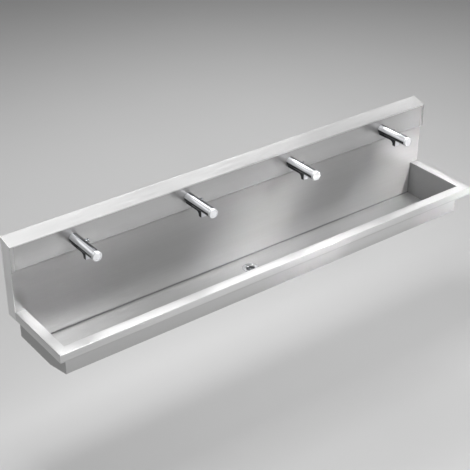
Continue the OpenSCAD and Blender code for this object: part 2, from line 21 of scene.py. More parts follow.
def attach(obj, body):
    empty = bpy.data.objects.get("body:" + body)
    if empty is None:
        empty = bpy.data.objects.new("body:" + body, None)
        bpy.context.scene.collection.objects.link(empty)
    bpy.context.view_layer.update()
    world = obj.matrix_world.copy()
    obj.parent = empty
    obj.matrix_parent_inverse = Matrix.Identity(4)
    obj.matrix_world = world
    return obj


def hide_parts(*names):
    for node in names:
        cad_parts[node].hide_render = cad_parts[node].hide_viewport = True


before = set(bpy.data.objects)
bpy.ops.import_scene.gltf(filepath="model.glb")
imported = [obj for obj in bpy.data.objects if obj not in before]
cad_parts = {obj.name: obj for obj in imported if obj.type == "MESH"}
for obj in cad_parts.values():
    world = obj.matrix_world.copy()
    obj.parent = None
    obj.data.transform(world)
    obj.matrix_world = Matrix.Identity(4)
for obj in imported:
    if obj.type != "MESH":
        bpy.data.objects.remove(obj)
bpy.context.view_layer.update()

Array = np.ndarray
Colour = tuple[float, float, float]
Point = tuple[float, float, float]
log = logging.getLogger("trough")

# Sizes and tones that several classes share.
HEADER_FRONT = -0.082
TAP_AXIS = 0.276
TAP_PITCH = 0.6
TAP_STATIONS = (-0.9, -0.3, 0.3, 0.9)
SHEET = 0.0015
PLAY = 0.0003
SOFT_EDGE = 0.004
# Tone toward which painted light draws a sheet.
PAINTED_LIGHT_TONE: Colour = (0.95, 0.95, 0.95)
DRAWN_OUT = 0.012
SHARP_TURN = 32.0
NUT_FACE = 0.96
NUT_SLOPE = 1.7
NUT_CHAMFER = 0.115


# Shader maths


class Grain(Enum):
    """Direction in which a sheet was brushed."""

    ALONG_X = (1.0, 0.0, 0.0)
    ALONG_Y = (0.0, 1.0, 0.0)
    ALONG_Z = (0.0, 0.0, 1.0)

    @property
    def stretch(self) -> Point:
        """Multiplies coordinates so that a pattern is drawn out along the grain."""
        return tuple(DRAWN_OUT if along else 1.0 for along in self.value)


class Value:
    """A number socket of a finish, on which Python's operators add Math nodes."""

    def __init__(self, graph: "Graph", socket: bpy.types.NodeSocket) -> None:
        """Wraps one output socket of the graph."""
        self.graph = graph
        self.socket = socket

    def _maths(self, operation: str, *operands: "Operand") -> "Value":
        """Adds one Math node.

        Args:
            operation: Blender's name of the operation.
            operands: its inputs in order, numbers or values.

        Returns:
            The node's result.
        """
        node = self.graph.node(
            "ShaderNodeMath", {"operation": operation}, dict(enumerate(operands))
        )
        return Value(self.graph, node.outputs[0])

    def __add__(self, other: "Operand") -> "Value":
        """Sum."""
        return self._maths("ADD", self, other)

    def __radd__(self, other: "Operand") -> "Value":
        """Sum with the number first."""
        return self._maths("ADD", other, self)

    def __sub__(self, other: "Operand") -> "Value":
        """Difference."""
        return self._maths("SUBTRACT", self, other)

    def __rsub__(self, other: "Operand") -> "Value":
        """Difference with the number first."""
        return self._maths("SUBTRACT", other, self)

    def __mul__(self, other: "Operand") -> "Value":
        """Product."""
        return self._maths("MULTIPLY", self, other)

    def __rmul__(self, other: "Operand") -> "Value":
        """Product with the number first."""
        return self._maths("MULTIPLY", other, self)

    def wrapped(self, period: float) -> "Value":
        """Remainder after whole periods, from 0 up to one period."""
        return self._maths("WRAP", self, period, 0.0)

    def eased(self, low: float, high: float) -> "Value":
        """Smooth step of the value.

        Args:
            low: value up to which the step is 0.
            high: value from which on it is 1.

        Returns:
            The step.
        """
        node = self.graph.node(
            "ShaderNodeMapRange",
            {"interpolation_type": "SMOOTHSTEP"},
            {"Value": self, "From Min": low, "From Max": high},
        )
        return Value(self.graph, node.outputs["Result"])


Operand = Value | float


class Graph:
    """Node tree of one material."""

    def __init__(self, name: str) -> None:
        """Makes an empty material with an output node.

        Args:
            name: name of the material.
        """
        self.material = bpy.data.materials.new(name)
        self.material.use_nodes = True
        self.tree = self.material.node_tree
        self.tree.nodes.clear()
        self.output = self.tree.nodes.new("ShaderNodeOutputMaterial")

    def node(
        self,
        kind: str,
        settings: dict[str, Any] | None = None,
        inputs: dict[Any, Any] | None = None,
    ) -> bpy.types.Node:
        """Adds any node.

        Args:
            kind: Blender's type name of the node.
            settings: attributes that are set first.
            inputs: numbers, colours, values or sockets, by the input's name or number.

        Returns:
            The new node.
        """
        made = self.tree.nodes.new(kind)
        for key, setting in (settings or {}).items():
            setattr(made, key, setting)
        for key, given in (inputs or {}).items():
            given = given.socket if isinstance(given, Value) else given
            if isinstance(given, bpy.types.NodeSocket):
                self.tree.links.new(given, made.inputs[key])
            else:
                made.inputs[key].default_value = given
        return made

    def place(self) -> bpy.types.NodeSocket:
        """Object coordinates, which are the frame's own metres."""
        return self.node("ShaderNodeTexCoord").outputs["Object"]

    def coordinates(self) -> tuple[Value, Value, Value]:
        """X, Y and Z of the object coordinates."""
        parts = self.node("ShaderNodeSeparateXYZ", {}, {"Vector": self.place()})
        return tuple(Value(self, parts.outputs[axis]) for axis in "XYZ")

    def stretched(self, stretch: Point) -> bpy.types.NodeSocket:
        """Object coordinates, each multiplied by its own number.

        Args:
            stretch: the three numbers; a small one draws a pattern out along that axis.

        Returns:
            The stretched coordinates.
        """
        return self.maths("MULTIPLY", self.place(), stretch)

    def near(self, point: Point, axes: Point, width: float) -> Value:
        """Closeness to a point, measured along some axes only.

        Args:
            point: the point, in metres.
            axes: 1 for each axis that counts, 0 for one that doesn't, less than 1 for one along
                which the closeness falls more slowly.
            width: distance from which on the closeness is 0. It is 1 at the point.

        Returns:
            The closeness.
        """
        centre = tuple(part * counts for part, counts in zip(point, axes))
        return 1.0 - self.measured("DISTANCE", self.stretched(axes), centre).eased(0.0, width)

    def below(self, height: float, soft: float) -> Value:
        """1 under a height and 0 over it, with a soft change."""
        return 1.0 - self.coordinates()[2].eased(height - soft, height)

    def noise(
        self, vector: bpy.types.NodeSocket, size: float, detail: float = 2.0
    ) -> Value:
        """Adds noise between 0 and 1.

        Args:
            vector: coordinates that it reads.
            size: width of its blotches, about, in metres.
            detail: layers of finer noise on top.

        Returns:
            The noise.
        """
        node = self.node(
            "ShaderNodeTexNoise", {}, {"Vector": vector, "Scale": 1 / size, "Detail": detail}
        )
        return Value(self, node.outputs["Fac"])

    def blended(
        self, factor: Operand, first: Colour | bpy.types.NodeSocket, second: Colour
    ) -> bpy.types.NodeSocket:
        """Mixes two colours.

        Args:
            factor: 0 for the first colour, 1 for the second.
            first: a colour or a colour's socket.
            second: a colour.

        Returns:
            The mixed colour.
        """
        start = first if isinstance(first, bpy.types.NodeSocket) else (*first, 1.0)
        node = self.node(
            "ShaderNodeMix", {"data_type": "RGBA"}, {"Factor": factor, 6: start, 7: (*second, 1.0)}
        )
        return node.outputs[2]

    def maths(self, operation: str, *operands: Any) -> bpy.types.NodeSocket:
        """Adds one Vector Math node and gives its vector result."""
        inputs = dict(enumerate(operands))
        return self.node("ShaderNodeVectorMath", {"operation": operation}, inputs).outputs["Vector"]

    def measured(self, operation: str, *operands: Any) -> Value:
        """Adds one Vector Math node whose result is a number.

        Args:
            operation: Blender's name of the operation.
            operands: its inputs in order, vectors or sockets.

        Returns:
            The number.
        """
        inputs = dict(enumerate(operands))
        node = self.node("ShaderNodeVectorMath", {"operation": operation}, inputs)
        return Value(self, node.outputs["Value"])

    def scored(self, grain: Grain, lean: Value) -> bpy.types.NodeSocket:
        """Normal of a surface scored by fine grooves along its grain.

        Each groove's flank leans across the grain, so light spreads across the grooves and stays
        gathered along them.

        Args:
            grain: direction of the grooves.
            lean: slope of the flank, which is positive and negative in turn.

        Returns:
            The leaning normal.
        """
        normal = self.node("ShaderNodeNewGeometry").outputs["Normal"]
        across = self.maths("CROSS_PRODUCT", grain.value, normal)
        scale = self.node(
            "ShaderNodeVectorMath", {"operation": "SCALE"}, {0: across, "Scale": lean}
        )
        return self.maths("NORMALIZE", self.maths("ADD", normal, scale.outputs["Vector"]))

    def relief(self, height: Value, depth: float) -> bpy.types.NodeSocket:
        """Normal bent by a height between 0 and 1 that is depth metres deep in all."""
        node = self.node("ShaderNodeBump", {}, {"Distance": depth, "Height": height})
        return node.outputs["Normal"]

    def surface(self, inputs: dict[str, Any]) -> None:
        """Ends the graph in one Principled shader with these inputs."""
        shader = self.node("ShaderNodeBsdfPrincipled", {}, inputs)
        self.tree.links.new(shader.outputs[0], self.output.inputs["Surface"])


# Finishes


def scaled(colour: Colour, factor: float) -> Colour:
    """A colour with each of its parts multiplied by a factor."""
    return tuple(factor * part for part in colour)


class Finish:
    """A finish that paints its graph once and is shared by all pieces that have it."""

    name: str

    def paint(self, graph: Graph) -> None:
        """Fills the graph of the finish."""
        raise NotImplementedError

    def material(self) -> bpy.types.Material:
        """Makes the finish's material at its first use and finds it again after that.

        Returns:
            The material.
        """
        found = bpy.data.materials.get(self.name)
        if found:
            return found
        graph = Graph(self.name)
        self.paint(graph)
        return graph.material

    def dress(self, piece: bpy.types.Object) -> None:
        """Puts the finish on every slot of a piece.

        Args:
            piece: the piece's object.
        """
        if not piece.material_slots:
            piece.data.materials.append(self.material())
        for material_slot in piece.material_slots:
            material_slot.material = self.material()


@dataclass(frozen=True)
class Shade:
    """A place where a sheet gets painted shade, painted light or another roughness, fading out over
    its width.

    By default the place is a line along X. With other axes it is a plane across one axis, or a
    spot, drawn out along the axes with small numbers. With a top it keeps under that height.
    """

    place: Point
    width: float
    depth: float
    axes: Point = (0.0, 1.0, 1.0)
    top: float | None = None

    def found(self, graph: Graph) -> Value:
        """How much of the change each point of the sheet gets.

        Args:
            graph: graph of the sheet's finish.

        Returns:
            The change: depth at the place itself, falling to 0 at its width.
        """
        near = graph.near(self.place, self.axes, self.width)
        if self.top is not None:
            near = near * graph.below(self.top, SOFT_EDGE)
        return self.depth * near


@dataclass(frozen=True)
class BrushedSteel(Finish):
    """Stainless sheet with fine lines along its grain, soft bands and faint wipe marks.

    Painted lights draw the tone toward a pale one, and shades, which are painted shade, toward a
    dark one. Polish is taken from the roughness, so that a negative depth dulls.
    """

    name: str
    grain: Grain
    tone: Colour = (0.632, 0.632, 0.632)
    roughness: float = 0.30
    metallic: float = 0.65
    groove: float = 0.0016
    band: float = 0.009
    wipe: float = 0.22
    spread: float = 0.12
    band_share: float = 0.7
    line_share: float = 0.3
    wipe_depth: float = 0.05
    darker: float = 0.93
    lighter: float = 1.05
    # Painted shade draws the tone toward this share of it.
    painted_shade_factor: float = 0.3
    shades: tuple[Shade, ...] = ()
    painted_lights: tuple[Shade, ...] = ()
    polish: tuple[Shade, ...] = ()

    def paint(self, graph: Graph) -> None:
        """Grooves lean the normal, bands change the tone, painted shade and painted light darken
        and pale it, and wipes change the roughness.

        Args:
            graph: graph that it fills.
        """
        lengthways = graph.stretched(self.grain.stretch)
        lines = graph.noise(lengthways, self.groove, 3.0)
        bands = graph.noise(lengthways, self.band, 4.0)
        wipes = graph.noise(graph.place(), self.wipe, 3.0)
        tone = graph.blended(
            self.band_share * bands + self.line_share * lines,
            scaled(self.tone, self.darker),
            scaled(self.tone, self.lighter),
        )
        # Painted light: the tone drawn toward a pale one.
        for painted_light in self.painted_lights:
            tone = graph.blended(painted_light.found(graph), tone, PAINTED_LIGHT_TONE)
        # Painted shade: the tone drawn toward a dark one.
        for shade in self.shades:
            tone = graph.blended(shade.found(graph), tone, scaled(self.tone, self.painted_shade_factor))
        rough = self.roughness + self.wipe_depth * (wipes - 0.5)
        for shine in self.polish:
            rough = rough - shine.found(graph)
        graph.surface(
            {
                "Base Color": tone,
                "Metallic": self.metallic,
                "Roughness": rough,
                "Normal": graph.scored(self.grain, (lines - 0.5) * (2 * self.spread)),
            }
        )


@dataclass(frozen=True)
class MirrorChrome(Finish):
    """Polished chrome plate with water marks that only just dull it."""

    name: str
    tone: Colour
    roughness: float = 0.05
    metallic: float = 1.0
    mark: float = 0.012
    mark_tone: float = 0.96
    mark_depth: float = 0.05

    def marks(self, graph: Graph) -> Value:
        """Water marks: soft blotches, 1 where the plate is dullest."""
        return graph.noise(graph.place(), self.mark, 4.0).eased(0.45, 0.75)

    def paint(self, graph: Graph) -> None:
        """The marks darken the tone a little and roughen the surface.

        Args:
            graph: graph that it fills.
        """
        marks = self.marks(graph)
        graph.surface(
            {
                "Base Color": graph.blended(marks, self.tone, scaled(self.tone, self.mark_tone)),
                "Metallic": self.metallic,
                "Roughness": self.roughness + self.mark_depth * marks,
            }
        )


@dataclass(frozen=True)
class PaintedReflectionBand:
    """A painted dark reflection along a tap's barrel, on the side that it faces.

    It begins where the cosine of the angle from that side is at start, and is full from full on.
    """

    side: Point
    start: float
    full: float


@dataclass(frozen=True)
class TapChrome(MirrorChrome):
    """Chrome of a tap with painted dark reflections along two bands of the barrel and painted
    shade under it.

    Each tap's own angle comes from its place across the header: the distance along X to the next
    tap's axis, and the height over the axis, over the distance from the axis. Lengths in pairs say
    where a change begins and where it ends: distances under the axis, and out from the wall.
    """

    name: str = "tap_chrome"
    tone: Colour = (0.93, 0.94, 0.97)
    # Colour of the painted shade and the painted dark reflections.
    shade: Colour = (0.035, 0.037, 0.042)
    # Painted dark reflections, one for each side of the barrel.
    bands: tuple[PaintedReflectionBand, ...] = (
        PaintedReflectionBand((0.69, 0.0, 0.72), 0.50, 0.62),
        PaintedReflectionBand((-0.69, 0.0, -0.72), 0.55, 0.65),
    )
    # Distances under the axis over which the painted shade comes in.
    painted_shade_under: tuple[float, float] = (0.017, 0.021)
    spout_top: tuple[float, float] = (0.0185, 0.0215)
    spout_front: tuple[float, float] = (0.2001, 0.2008)
    metallic: float = 0.6
    front_painted: float = 0.9

    def paint(self, graph: Graph) -> None:
        """Painted dark reflections follow the angle round the axis, painted shade darkens the
        underside, and the spout's front face is left out of both and stays bright.

        Args:
            graph: graph that it fills.
        """
        along, out, height = graph.coordinates()
        across = along.wrapped(TAP_PITCH) - TAP_PITCH / 2
        raised = height - TAP_AXIS
        spoke = graph.node("ShaderNodeCombineXYZ", {}, {"X": across, "Z": raised})
        unit = graph.maths("NORMALIZE", spoke.outputs["Vector"])
        # Painted shade under the barrel, then painted dark reflections along the bands.
        dark = (-1.0 * raised).eased(*self.painted_shade_under)
        for band in self.bands:
            facing = graph.measured("DOT_PRODUCT", unit, band.side)
            dark = dark + facing.eased(band.start, band.full)
        # The spout's front face, kept out of the painted shade and reflections and nearly without
        # metal.
        front = (-1.0 * out).eased(*self.spout_front) * (-1.0 * raised).eased(*self.spout_top)
        dark = dark.eased(0.0, 1.0) * (1.0 - front)
        graph.surface(
            {
                "Base Color": graph.blended(dark, self.tone, self.shade),
                "Metallic": self.metallic * (1.0 - self.front_painted * front),
                "Roughness": self.roughness + self.mark_depth * self.marks(graph),
            }
        )


@dataclass(frozen=True)
class ZincPlate(Finish):
    """Zinc-coated steel with its crystal spangle."""

    name: str
    tone: Colour = (0.56, 0.57, 0.59)
    crystal: float = 0.014
    grit: float = 0.002
    relief: float = 0.00004
    roughness: float = 0.36
    dullness: float = 0.16
    darker: float = 0.8

    def paint(self, graph: Graph) -> None:
        """Each crystal is one cell with its own tone and dullness.

        Args:
            graph: graph that it fills.
        """
        cells = graph.node(
            "ShaderNodeTexVoronoi", {}, {"Vector": graph.place(), "Scale": 1 / self.crystal}
        )
        parts = graph.node("ShaderNodeSeparateColor", {}, {"Color": cells.outputs["Color"]})
        tone = Value(graph, parts.outputs["Red"])
        grit = graph.noise(graph.place(), self.grit, 3.0)
        graph.surface(
            {
                "Base Color": graph.blended(
                    0.7 * tone + 0.3 * grit, scaled(self.tone, self.darker), self.tone
                ),
                "Metallic": 1.0,
                "Roughness": self.roughness + self.dullness * tone,
                "Normal": graph.relief(grit, self.relief),
            }
        )


@dataclass(frozen=True)
class DullMetal(Finish):
    """Bare copper or brass that has lost its first shine in cloudy patches."""

    name: str
    bright: Colour
    dull: Colour
    patch: float = 0.03
    scratch: float = 0.0012
    relief: float = 0.00002
    roughness: float = 0.28
    patch_depth: float = 0.18
    scratch_depth: float = 0.06

    def paint(self, graph: Graph) -> None:
        """Patches mix the bright and the dull tone and roughen the surface.

        Args:
            graph: graph that it fills.
        """
        patches = graph.noise(graph.place(), self.patch, 5.0).eased(0.35, 0.7)
        scratches = graph.noise(graph.stretched((0.05, 1.0, 1.0)), self.scratch)
        graph.surface(
            {
                "Base Color": graph.blended(patches, self.bright, self.dull),
                "Metallic": 1.0,
                "Roughness": self.roughness
                + self.patch_depth * patches
                + self.scratch_depth * scratches,
                "Normal": graph.relief(scratches, self.relief),
            }
        )


@dataclass(frozen=True)
class Moulded(Finish):
    """Rubber or plastic with a fine moulded grain."""

    name: str
    tone: Colour
    roughness: float
    grain: float = 0.0008
    cloud: float = 0.02
    relief: float = 0.00005
    cloud_depth: float = 0.1
    darker: float = 0.9

    def paint(self, graph: Graph) -> None:
        """A fine grain in the relief and a slight unevenness of the tone.

        Args:
            graph: graph that it fills.
        """
        grain = graph.noise(graph.place(), self.grain)
        clouds = graph.noise(graph.place(), self.cloud, 3.0)
        graph.surface(
            {
                "Base Color": graph.blended(clouds, scaled(self.tone, self.darker), self.tone),
                "Roughness": self.roughness + self.cloud_depth * (clouds - 0.5),
                "Normal": graph.relief(grain, self.relief),
            }
        )


@dataclass(frozen=True)
class PaleFloor(Finish):
    """Plain pale studio floor."""

    name: str = "pale_floor"
    tone: Colour = (0.66, 0.66, 0.66)
    cloud: float = 0.8
    darker: float = 0.97
    roughness: float = 0.85

    def paint(self, graph: Graph) -> None:
        """One even tone, broken a little by a wide soft noise.

        Args:
            graph: graph that it fills.
        """
        clouds = graph.noise(graph.place(), self.cloud)
        graph.surface(
            {
                "Base Color": graph.blended(clouds, scaled(self.tone, self.darker), self.tone),
                "Roughness": self.roughness,
            }
        )


ALONG_ONLY: Point = (1.0, 0.0, 0.0)
OUT_ONLY: Point = (0.0, 1.0, 0.0)
ALL_ROUND: Point = (1.0, 1.0, 1.0)

STEEL_LENGTHWAYS = BrushedSteel("steel_brushed_lengthways", Grain.ALONG_X)
STEEL_PAN = BrushedSteel(
    "steel_brushed_pan",
    Grain.ALONG_X,
    shades=(
        # Painted shade: a dark line along the bend of back and floor, and a soft one round it.
        Shade((0.0, -0.0642, -0.1783), 0.009, 0.80),
        Shade((0.0, -0.0642, -0.1783), 0.200, 0.14),
        # Painted shade over the sloping floor, and painted shadow on the splash under the header,
        # with a darker line where they meet.
        Shade((0.0, -0.3000, -0.1750), 0.240, 0.62),
        Shade((0.0, -0.0655, 0.2100), 0.100, 0.28),
        Shade((0.0, -0.0655, 0.2050), 0.016, 0.36),
        # Painted shade along the bend of floor and slope, and a painted shadow line at the apron's
        # lower edge.
        Shade((0.0, -0.2590, -0.1783), 0.006, 0.12),
        Shade((0.0, -0.4480, -0.0400), 0.008, 0.35),
        # Painted shade over the left half of the floor and the left ends of the splash and of the
        # front rim.
        Shade((-0.55, -0.20, -0.20), 0.26, 0.30, (0.35, 1.0, 1.0)),
        Shade((-1.195, -0.067, 0.03), 0.07, 0.75, (1.0, 1.0, 0.6)),
        Shade((-1.0, -0.43, 0.0), 0.06, 0.12, (0.1, 1.0, 1.0)),
        # Painted shade in the corners where the end walls meet the back and the floor.
        *(
            shade
            for end in (1.1525, -1.1525)
            for shade in (
                Shade((end, -0.0655, 0.0), 0.012, 0.70, (1.0, 1.0, 0.0), 0.0),
                Shade((end, 0.0, -0.1785), 0.010, 0.60, (1.0, 0.0, 1.0)),
            )
        ),
    ),
    painted_lights=(
        # Painted light on the middle of the front rim, the body right of the middle, and the
        # apron's right end.
        Shade((0.00, -0.430, 0.0), 0.06, 0.40, (0.045, 1.0, 1.0)),
        Shade((0.45, -0.405, -0.10), 0.08, 0.40, (0.06, 1.0, 1.0)),
        Shade((1.20, -0.43, -0.13), 0.22, 0.60, ALL_ROUND),
    ),
    polish=(Shade((0.0, -0.0655, -0.1770), 0.010, -0.45),),
)
STEEL_HEADER = BrushedSteel(
    "steel_brushed_header",
    Grain.ALONG_X,
    # A darker tone than the other lengthways steel: painted shade.
    (0.53, 0.53, 0.53),
    # Painted shade over the front face, and two soft patches of painted shade on it.
    shades=(
        Shade((0.0, HEADER_FRONT, 0.0), 0.003, 0.14, OUT_ONLY),
        Shade((0.05, HEADER_FRONT, 0.27), 0.35, 0.12, ALL_ROUND),
        Shade((-1.10, HEADER_FRONT, 0.27), 0.35, 0.12, ALL_ROUND),
    ),
    # Painted light on the right end of the front face.
    painted_lights=(Shade((1.20, HEADER_FRONT, 0.27), 0.45, 0.22, ALL_ROUND),),
    polish=(
        Shade((0.0, HEADER_FRONT, 0.0), 0.003, 0.07, OUT_ONLY),
        Shade((0.0, HEADER_FRONT, 0.332), 0.006, -0.25),
    ),
)
STEEL_FRONT_TO_BACK = BrushedSteel("steel_brushed_front_to_back", Grain.ALONG_Y)
STEEL_END_WALL = BrushedSteel(
    "steel_brushed_end_wall",
    Grain.ALONG_Y,
    # A darker tone than the rails of the same grain: painted shade.
    (0.50, 0.50, 0.50),
    # Painted shade on the outer faces of both end walls.
    shades=tuple(
        Shade((end, 0.0, 0.0), 0.0012, 0.45, ALONG_ONLY) for end in (-1.154, 1.154)
    ),
)
STEEL_UPRIGHT = BrushedSteel(
    "steel_brushed_upright",
    Grain.ALONG_Z,
    # A paler tone than the other sheets: painted light.
    (0.82, 0.82, 0.82),
    # Painted shade on the folded return at the front edge, and painted light on the top of the left
    # panel.
    shades=(Shade((0.0, -0.083, 0.0), 0.007, 0.68, OUT_ONLY),),
    painted_lights=(Shade((-1.2, -0.03, 0.34), 0.26, 1.0, ALL_ROUND),),
)
CHROME = MirrorChrome("mirror_chrome", (0.56, 0.56, 0.57), 0.20, 0.65)
TAP_CHROME = TapChrome()
CAP_CHROME = MirrorChrome("cap_chrome", (0.92, 0.93, 0.95), 0.12, 0.4)
DARK_CHROME = MirrorChrome("dark_chrome", (0.30, 0.31, 0.33), 0.12)
ZINC = ZincPlate("zinc_spangle")
COPPER = DullMetal("dull_copper", (0.78, 0.42, 0.28), (0.45, 0.22, 0.14))
BRASS = DullMetal("dull_brass", (0.82, 0.62, 0.30), (0.55, 0.40, 0.20))
RUBBER = Moulded("black_rubber", (0.02, 0.02, 0.022), 0.6)
POLYMER = Moulded("white_polymer", (0.78, 0.78, 0.75), 0.45)


# Surfaces


def filleted(corners: list[Point], steps: int = 6) -> Array:
    """Rounds the corners of a plane outline.

    Each corner becomes the arc that touches both its sides: it starts radius x tan(half the turn)
    before the corner, and turns about the centre that lies one radius to the side of the turn.

    Args:
        corners: both coordinates and the rounding's radius of each corner in order, radius 0 for a
            sharp one. The first and last are sharp if the outline is open.
        steps: parts of each arc.

    Returns:
        The outline's points, without repeats that follow each other.
    """
    table = np.array(corners, dtype=float)
    points, radii = table[:, :2], table[:, 2]
    before, after = np.roll(points, 1, axis=0), np.roll(points, -1, axis=0)
    into = (points - before) / np.linalg.norm(points - before, axis=1)[:, None]
    out = (after - points) / np.linalg.norm(after - points, axis=1)[:, None]
    turn = np.arctan2(
        into[:, 0] * out[:, 1] - into[:, 1] * out[:, 0], np.sum(into * out, axis=1)
    )
    start = points - into * (radii * np.tan(np.abs(turn) / 2))[:, None]
    arm = -np.stack([-into[:, 1], into[:, 0]], axis=1) * (np.sign(turn) * radii)[:, None]
    angles = turn[:, None] * np.linspace(0, 1, steps + 1)[None, :]
    swung = np.stack(
        [
            arm[:, :1] * np.cos(angles) - arm[:, 1:] * np.sin(angles),
            arm[:, :1] * np.sin(angles) + arm[:, 1:] * np.cos(angles),
        ],
        axis=2,
    )
    arcs = (start - arm)[:, None, :] + swung
    flat = arcs.reshape(-1, 2)
    keep = np.r_[True, np.linalg.norm(np.diff(flat, axis=0), axis=1) > 1e-9]
    return flat[keep]


def smooth_max(first: Array, second: Array, width: float) -> Array:
    """The larger of two values, rounded over where they differ by less than width."""
    near = np.maximum(width - np.abs(first - second), 0) / width
    return np.maximum(first, second) + near * near * width / 4


def smooth_min(first: Array, second: Array, width: float) -> Array:
    """The smaller of two values, rounded over where they differ by less than width."""
    return -smooth_max(-first, -second, width)


def hexagon(angles: Array, across: float) -> Array:
    """Distance to a hexagon's edge: half its width across flats over the cosine from a flat."""
    sixth = math.pi / 3
    return across / 2 / np.cos((angles + sixth / 2) % sixth - sixth / 2)


@dataclass
class Surface:
    """Vertices and four-cornered faces of a shape, before it becomes a mesh."""

    points: Array
    quads: Array

    @staticmethod
    def from_grid(grid: Array, loop_rows: bool = False) -> "Surface":
        """Surface over a grid of points whose columns close on themselves.

        Args:
            grid: points by row and column.
            loop_rows: also joins the last row to the first.

        Returns:
            The surface, one face between each pair of rows and columns.
        """
        rows, columns = grid.shape[:2]
        index = np.arange(rows * columns).reshape(rows, columns)
        below = np.roll(index, -1, axis=0) if loop_rows else index[1:]
        above = index if loop_rows else index[:-1]
        quads = np.stack(
            [above, np.roll(above, -1, axis=1), np.roll(below, -1, axis=1), below], axis=-1
        )
        return Surface(grid.reshape(-1, 3), quads.reshape(-1, 4))

    @staticmethod
    def turned(
        radius: Array, height: Array, angles: Array | int = 64, loop_rows: bool = False
    ) -> "Surface":
        """Surface round an upright axis: x and y are the radius times sine and minus cosine.

        Args:
            radius: one radius a row, or one for each row and angle.
            height: one height a row.
            angles: the angles in order, or how many there are at an even spacing.
            loop_rows: closes a ring-shaped body, whose profile comes back to its start.

        Returns:
            The surface, closed round the axis.
        """
        if isinstance(angles, int):
            angles = np.linspace(0, 2 * math.pi, angles, endpoint=False)
        wide = radius[:, None] * np.ones(len(angles)) if radius.ndim == 1 else radius
        tall = height[:, None] * np.ones(len(angles))
        grid = np.stack([wide * np.sin(angles), -wide * np.cos(angles), tall], axis=2)
        return Surface.from_grid(grid, loop_rows)

    @staticmethod
    def lathed(profile: Array, sides: int, loop_rows: bool = False) -> "Surface":
        """A profile of (radius, height) turned round an upright axis."""
        return Surface.turned(profile[:, 0], profile[:, 1], sides, loop_rows)

    def moved(self, offset: Point) -> "Surface":
        """The same surface, moved."""
        return Surface(self.points + np.array(offset), self.quads)

    def stood(self, x_axis: Point, y_axis: Point, z_axis: Point) -> "Surface":
        """The same surface with its own axes laid along the three given ones."""
        return Surface(self.points @ np.array([x_axis, y_axis, z_axis]), self.quads)

    def repeated(self, places: list[Point]) -> "Surface":
        """Copies of the surface at several places, as one."""
        first, *others = (self.moved(place) for place in places)
        return sum(others, first)

    def __add__(self, other: "Surface") -> "Surface":
        """Both surfaces as one."""
        return Surface(
            np.concatenate([self.points, other.points]),
            np.concatenate([self.quads, other.quads + len(self.points)]),
        )

    def mesh(self, name: str, sharp: float = SHARP_TURN) -> bpy.types.Mesh:
        """Welds the surface into a mesh whose faces point outwards.

        Points that agree to a ten-millionth of a metre become one, and a face whose corners meet
        becomes a triangle or goes.

        Args:
            name: name of the mesh.
            sharp: edges that turn by more than this many degrees stay sharp.

        Returns:
            The mesh.
        """
        keys = np.round(self.points * 1e7).astype(np.int64)
        _, first, back = np.unique(keys, axis=0, return_index=True, return_inverse=True)
        quads = back.reshape(-1)[self.quads]
        repeated = quads == np.roll(quads, 1, axis=1)
        whole = repeated.sum(axis=1) < 2
        quads, repeated = quads[whole], repeated[whole]
        corners = quads[~repeated]
        sizes = 4 - repeated.sum(axis=1)
        mesh = bpy.data.meshes.new(name)
        mesh.vertices.add(len(first))
        mesh.vertices.foreach_set("co", self.points[first].astype(np.float32).ravel())
        mesh.loops.add(len(corners))
        mesh.loops.foreach_set("vertex_index", corners.astype(np.int32))
        mesh.polygons.add(len(sizes))
        mesh.polygons.foreach_set("loop_start", np.r_[0, np.cumsum(sizes)[:-1]].astype(np.int32))
        mesh.update(calc_edges=True)
        mesh.validate()
        return finished(mesh, sharp)


def finished(mesh: bpy.types.Mesh, sharp: float = SHARP_TURN) -> bpy.types.Mesh:
    """Turns a mesh's faces outwards and shades it smooth between its sharp edges.

    Args:
        mesh: the mesh, which is changed.
        sharp: edges that turn by more than this many degrees stay sharp.

    Returns:
        The same mesh.
    """
    work = bmesh.new()
    work.from_mesh(mesh)
    bmesh.ops.remove_doubles(work, verts=work.verts, dist=1e-6)
    bmesh.ops.recalc_face_normals(work, faces=work.faces)
    work.to_mesh(mesh)
    work.free()
    mesh.shade_smooth()
    mesh.set_sharp_from_angle(angle=math.radians(sharp))
    return mesh


def carved(
    base: Surface, added: list[Surface], removed: list[Surface], name: str
) -> bpy.types.Mesh:
    """Makes one closed mesh from a base.

    Args:
        base: the solid to start from.
        added: solids that are joined to it first.
        removed: solids that are cut out of it then.
        name: name of the mesh.

    Returns:
        The mesh.
    """
    holder = bpy.data.objects.new(name, base.mesh(name))
    bpy.context.scene.collection.objects.link(holder)
    tools = []
    for operation, solids in (("UNION", added), ("DIFFERENCE", removed)):
        for solid in solids:
            tool = bpy.data.objects.new("tool", solid.mesh("tool"))
            bpy.context.scene.collection.objects.link(tool)
            tools.append(tool)
            cut = holder.modifiers.new(operation, "BOOLEAN")
            cut.operation, cut.object, cut.solver = operation, tool, "EXACT"
    evaluated = holder.evaluated_get(bpy.context.evaluated_depsgraph_get())
    mesh = bpy.data.meshes.new_from_object(evaluated)
    mesh.name = name
    for spare in [holder, *tools]:
        bpy.data.objects.remove(spare)
    return finished(mesh)


def fitted(mesh: bpy.types.Mesh, body: str, finish: Finish, slot: str, *nodes: str) -> None:
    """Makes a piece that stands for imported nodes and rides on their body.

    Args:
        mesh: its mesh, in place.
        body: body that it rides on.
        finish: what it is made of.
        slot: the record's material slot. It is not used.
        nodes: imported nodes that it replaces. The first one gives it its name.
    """
    name = f"{nodes[0]}_piece"
    piece = bpy.data.objects.new(name, mesh)
    bpy.context.scene.collection.objects.link(piece)
    finish.dress(piece)
    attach(piece, body)
    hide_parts(*nodes)
    log.info("%s: %d faces on %s", name, len(mesh.polygons), body)


